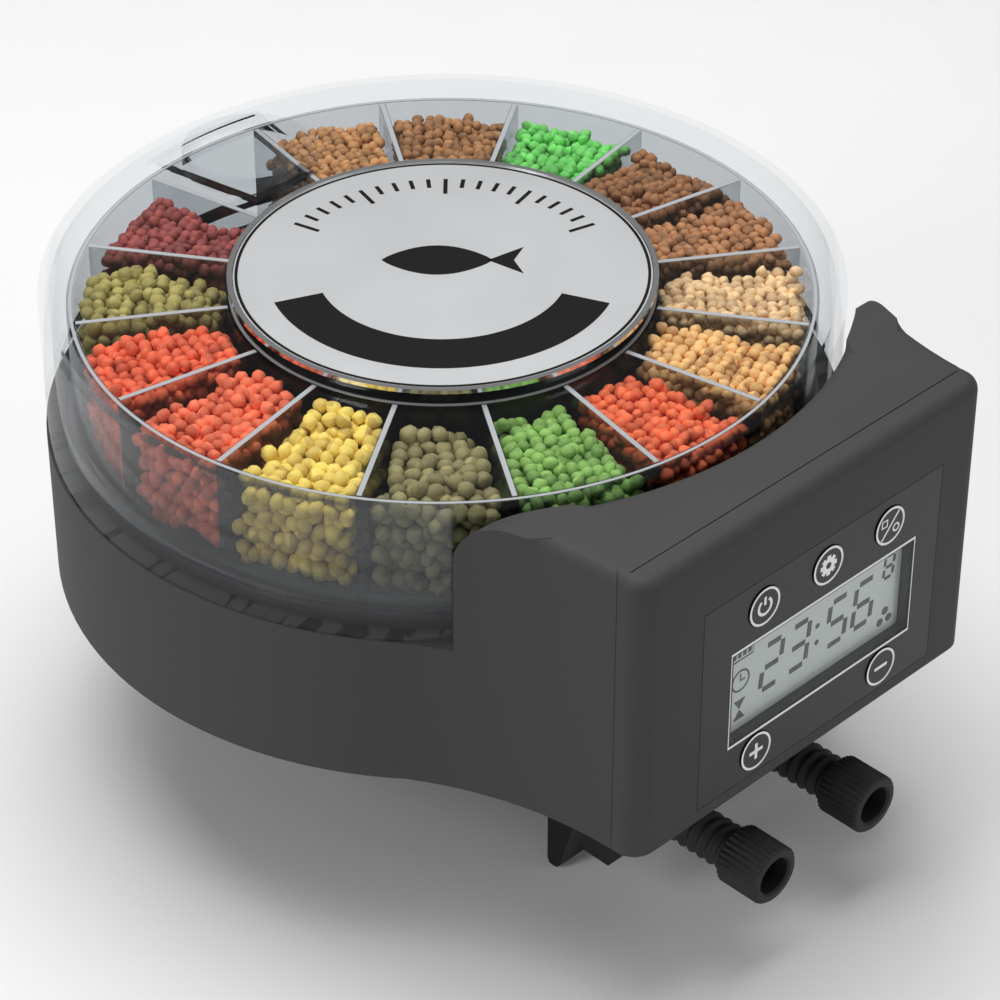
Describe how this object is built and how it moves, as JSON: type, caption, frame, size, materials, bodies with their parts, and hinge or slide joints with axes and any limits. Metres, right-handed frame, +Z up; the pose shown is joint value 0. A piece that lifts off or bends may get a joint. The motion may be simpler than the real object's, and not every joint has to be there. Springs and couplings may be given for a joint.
{
  "type": "automatic fish feeder",
  "caption": "Clip-on fish feeder: a clear divided food wheel turns under a clear lid over a drop chute, beside a control box with display, keys and a two-screw rim clamp.",
  "frame": {"origin": "on the food wheel's axis, in the plane of the flat underside", "axes": "+Z up along the wheel's axis, the display and keys face -Y, +X to the right as seen from the display side"},
  "size_m": [0.1306, 0.1515, 0.0896],
  "materials": {
    "housing_black": "satin moulded ABS",
    "cover_black": "fine spark-eroded texture",
    "deck_black": "smooth moulded ABS",
    "clear_lid": "polished clear polystyrene",
    "clear_wheel": "clear polystyrene",
    "label_silver": "satin silver foil",
    "bezel_chrome": "bright plated",
    "overlay_black": "printed film",
    "window_clear": "clear acrylic",
    "lcd_grey": "reflective display glass",
    "board_green": "solder mask",
    "chip_black": "moulded epoxy",
    "switch_steel": "stamped cover",
    "key_black": "printed key cap",
    "cell_wrap": "shrink-wrapped cell",
    "spring_steel": "nickel plated",
    "gear_nylon": "natural acetal",
    "bush_brass": "sintered",
    "chassis_grey": "moulded ABS",
    "motor_steel": "zinc plated can",
    "shaft_steel": "ground",
    "clamp_black": "satin moulded nylon",
    "pad_rubber": "soft pad",
    "screw_black": "satin moulded nylon",
    "screw_steel": "zinc plated",
    "food_pellets": "rough extruded pellets, in the visual model only",
    "print_white": "printed ink",
    "print_black": "printed ink",
    "lcd_ink": "liquid crystal figures"
  },
  "bodies": {
    "base": {"housing": "housing_black", "bottom_cover": "cover_black", "feed_deck": "deck_black", "drop_chute": "deck_black", "lid_collar": "clear_lid", "spindle_bush": "bush_brass", "lower_bush": "bush_brass", "gear_chassis": "chassis_grey", "idler_pin": "shaft_steel", "motor_case": "motor_steel", "front_overlay": "overlay_black", "display_window": "window_clear", "lcd_module": "lcd_grey", "circuit_board": "board_green", "control_chip": "chip_black", "tact_switches": "switch_steel", "batteries": "cell_wrap", "battery_springs": "spring_steel", "battery_contacts": "spring_steel", "clamp_bracket": "clamp_black", "bracket_screws": "screw_steel", "cover_screws": "screw_steel", "deck_screws": "screw_steel", "chassis_screws": "screw_steel", "motor_screws": "screw_steel", "board_screws": "screw_steel"},
    "feed_wheel": {"wheel_hub": "clear_wheel", "wheel_dividers": "clear_wheel", "wheel_wall": "clear_wheel", "drive_spindle": "gear_nylon", "spindle_gear": "gear_nylon", "spindle_clip": "spring_steel"},
    "idler": {"idler_gear": "gear_nylon"},
    "motor_rotor": {"motor_shaft": "shaft_steel", "motor_pinion": "gear_nylon"},
    "lid": {"lid": "clear_lid", "lid_skirt": "clear_lid", "label_plate": "label_silver", "label_bezel": "bezel_chrome"},
    "hatch": {"hatch_cover": "clear_lid", "pull_ring": "clear_lid"},
    "battery_door": {"battery_door": "cover_black"},
    "power_key": {"power_key": "key_black"},
    "set_key": {"set_key": "key_black"},
    "feed_key": {"feed_key": "key_black"},
    "plus_key": {"plus_key": "key_black"},
    "minus_key": {"minus_key": "key_black"},
    "left_pad": {"left_pad": "pad_rubber"},
    "left_screw": {"left_screw": "screw_black"},
    "right_pad": {"right_pad": "pad_rubber"},
    "right_screw": {"right_screw": "screw_black"}
  },
  "joints": [
    {"name": "wheel_spin", "type": "hinge", "parent": "base", "child": "feed_wheel", "pos_m": [0, 0, 0.03], "axis": [0, 0, 1], "continuous": true},
    {"name": "idler_spin", "type": "hinge", "parent": "base", "child": "idler", "pos_m": [0.015, -0.02598, 0.02], "axis": [0, 0, 1], "continuous": true},
    {"name": "motor_spin", "type": "hinge", "parent": "base", "child": "motor_rotor", "pos_m": [0.036, -0.02598, 0.02], "axis": [0, 0, 1], "continuous": true},
    {"name": "lid_lift", "type": "slide", "parent": "base", "child": "lid", "axis": [0, 0, 1], "range_m": [0, 0.04]},
    {"name": "hatch_lift", "type": "slide", "parent": "lid", "child": "hatch", "axis": [0, 0, 1], "range_m": [0, 0.015]},
    {"name": "battery_door_release", "type": "slide", "parent": "base", "child": "battery_door", "axis": [0, 0, -1], "range_m": [0, 0.02]},
    {"name": "power_key_press", "type": "slide", "parent": "base", "child": "power_key", "axis": [0, 1, 0], "range_m": [0, 0.0005], "stiffness_N_per_m": 300},
    {"name": "set_key_press", "type": "slide", "parent": "base", "child": "set_key", "axis": [0, 1, 0], "range_m": [0, 0.0005], "stiffness_N_per_m": 300},
    {"name": "feed_key_press", "type": "slide", "parent": "base", "child": "feed_key", "axis": [0, 1, 0], "range_m": [0, 0.0005], "stiffness_N_per_m": 300},
    {"name": "plus_key_press", "type": "slide", "parent": "base", "child": "plus_key", "axis": [0, 1, 0], "range_m": [0, 0.0005], "stiffness_N_per_m": 300},
    {"name": "minus_key_press", "type": "slide", "parent": "base", "child": "minus_key", "axis": [0, 1, 0], "range_m": [0, 0.0005], "stiffness_N_per_m": 300},
    {"name": "left_pad_advance", "type": "slide", "parent": "base", "child": "left_pad", "axis": [0, 1, 0], "range_m": [0, 0.006]},
    {"name": "left_screw_turn", "type": "hinge", "parent": "left_pad", "child": "left_screw", "pos_m": [-0.012, -0.07, -0.0162], "axis": [0, 1, 0], "range_deg": [0, 1080]},
    {"name": "right_pad_advance", "type": "slide", "parent": "base", "child": "right_pad", "axis": [0, 1, 0], "range_m": [0, 0.006]},
    {"name": "right_screw_turn", "type": "hinge", "parent": "right_pad", "child": "right_screw", "pos_m": [0.012, -0.07, -0.0162], "axis": [0, 1, 0], "range_deg": [0, 1080]}
  ],
  "couplings": [
    {"joint": "idler_spin", "follows": "wheel_spin", "ratio": -4},
    {"joint": "motor_spin", "follows": "wheel_spin", "ratio": 10},
    {"joint": "left_screw_turn", "follows": "left_pad_advance", "rad_per_m": 3141.6},
    {"joint": "right_screw_turn", "follows": "right_pad_advance", "rad_per_m": 3141.6}
  ]
}
